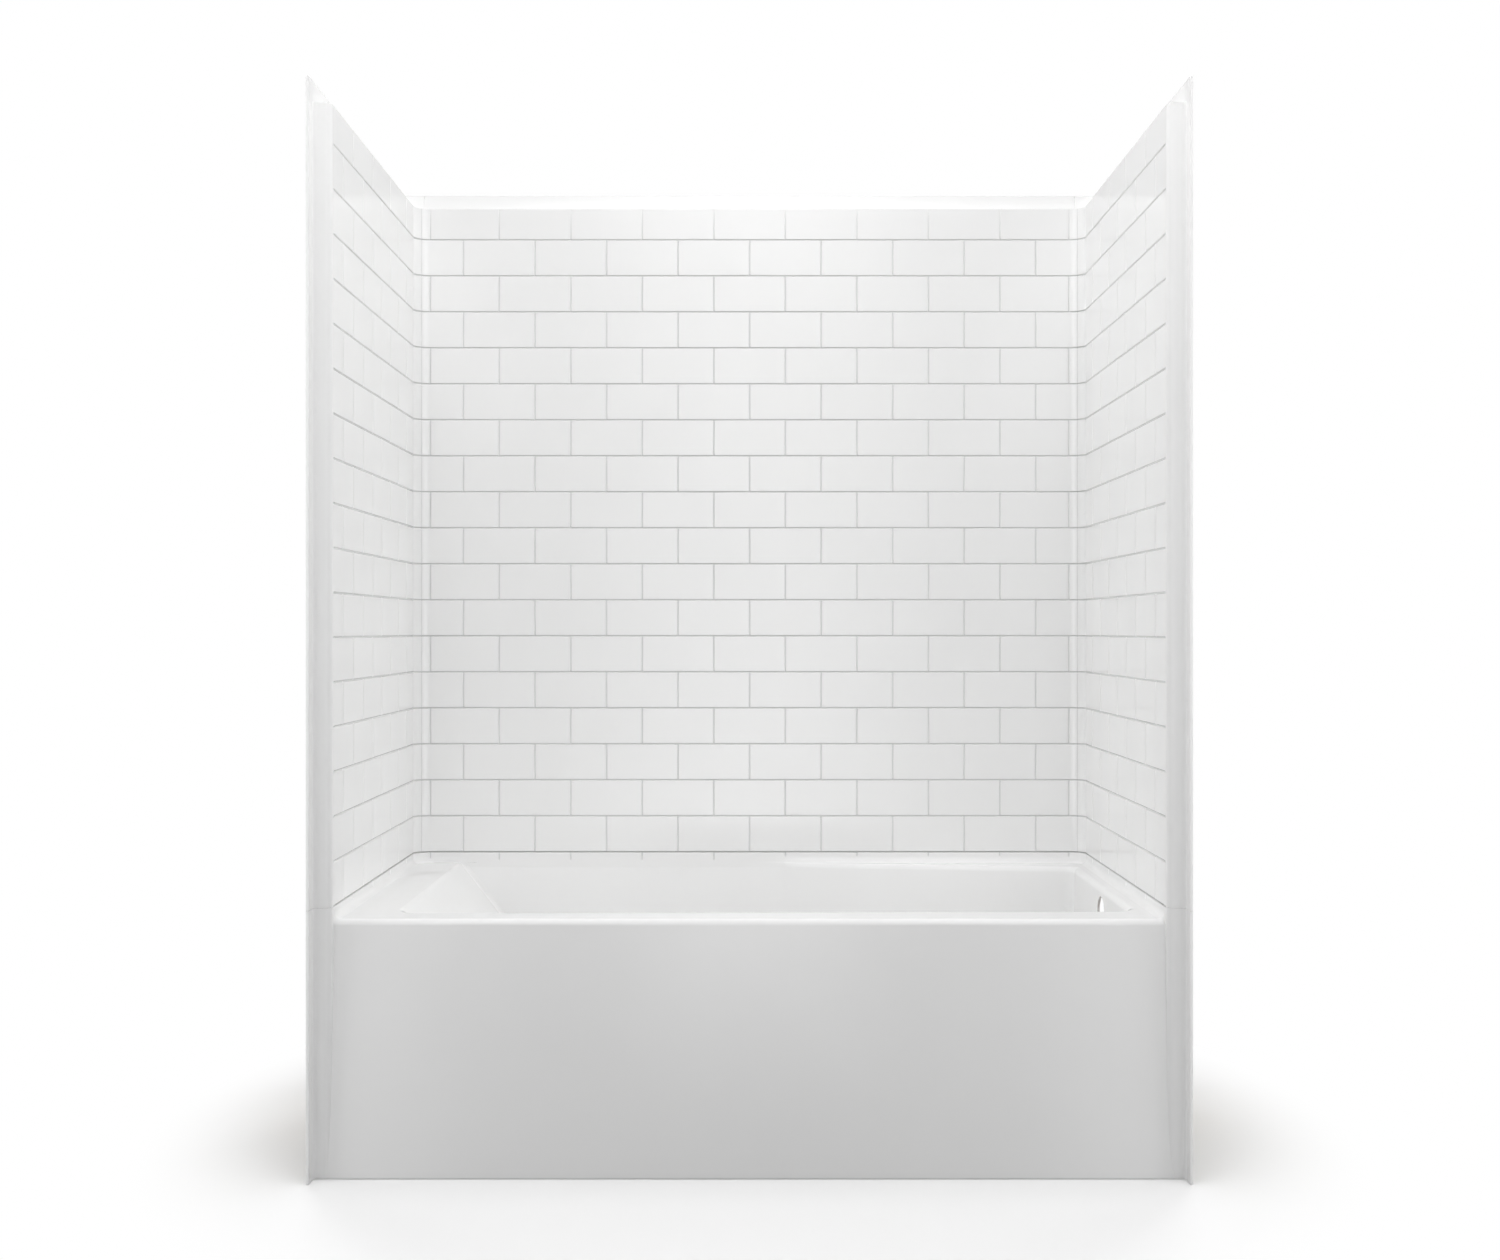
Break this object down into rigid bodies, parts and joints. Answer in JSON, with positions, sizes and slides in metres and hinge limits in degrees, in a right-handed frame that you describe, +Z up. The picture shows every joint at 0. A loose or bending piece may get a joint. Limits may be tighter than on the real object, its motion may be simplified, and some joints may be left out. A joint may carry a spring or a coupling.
{
  "type": "tub and shower unit",
  "caption": "Alcove bath with a raised wall surround in gloss white, brick tile relief, plain leaning apron, sloping backrest and right-hand drain end.",
  "frame": {"origin": "middle of the unit's footprint, at the floor it stands on", "axes": "+X towards the drain end, which is the right-hand end seen from the open front; +Y towards the back wall; +Z up"},
  "size_m": [1.524, 0.7938, 1.905],
  "materials": {
    "moulding": "high gloss",
    "seal": "matt",
    "screw": "zinc plated",
    "timber": "sawn"
  },
  "bodies": {
    "root": {"bath_moulding": "moulding", "back_wall_moulding": "moulding", "left_wall_moulding": "moulding", "right_wall_moulding": "moulding", "back_joint_seal": "seal", "left_joint_seal": "seal", "right_joint_seal": "seal", "left_corner_seal": "seal", "right_corner_seal": "seal", "back_joint_screw_1": "screw", "back_joint_screw_2": "screw", "back_joint_screw_3": "screw", "back_joint_screw_4": "screw", "left_joint_screw_1": "screw", "left_joint_screw_2": "screw", "right_joint_screw_1": "screw", "right_joint_screw_2": "screw", "left_corner_screw_1": "screw", "left_corner_screw_2": "screw", "left_corner_screw_3": "screw", "right_corner_screw_1": "screw", "right_corner_screw_2": "screw", "right_corner_screw_3": "screw", "back_ledge_batten": "timber", "left_ledge_batten": "timber", "right_ledge_batten": "timber", "rear_leg_left": "timber", "rear_leg_middle": "timber", "rear_leg_right": "timber", "end_leg_left": "timber", "end_leg_right": "timber", "left_deck_board": "timber", "right_deck_board": "timber", "front_rim_batten": "timber", "apron_foot_rail": "timber", "apron_stiffener_left": "timber", "apron_stiffener_middle": "timber", "apron_stiffener_right": "timber", "basin_floor_board": "timber", "floor_bearer_left": "timber", "floor_bearer_middle": "timber", "floor_bearer_right": "timber", "backrest_board": "timber", "back_wall_batten_low": "timber", "left_wall_batten_low": "timber", "right_wall_batten_low": "timber", "back_wall_batten_middle": "timber", "left_wall_batten_middle": "timber", "right_wall_batten_middle": "timber", "back_wall_batten_high": "timber", "left_wall_batten_high": "timber", "right_wall_batten_high": "timber", "grab_rail_board": "timber", "valve_board": "timber"}
  },
  "joints": []
}
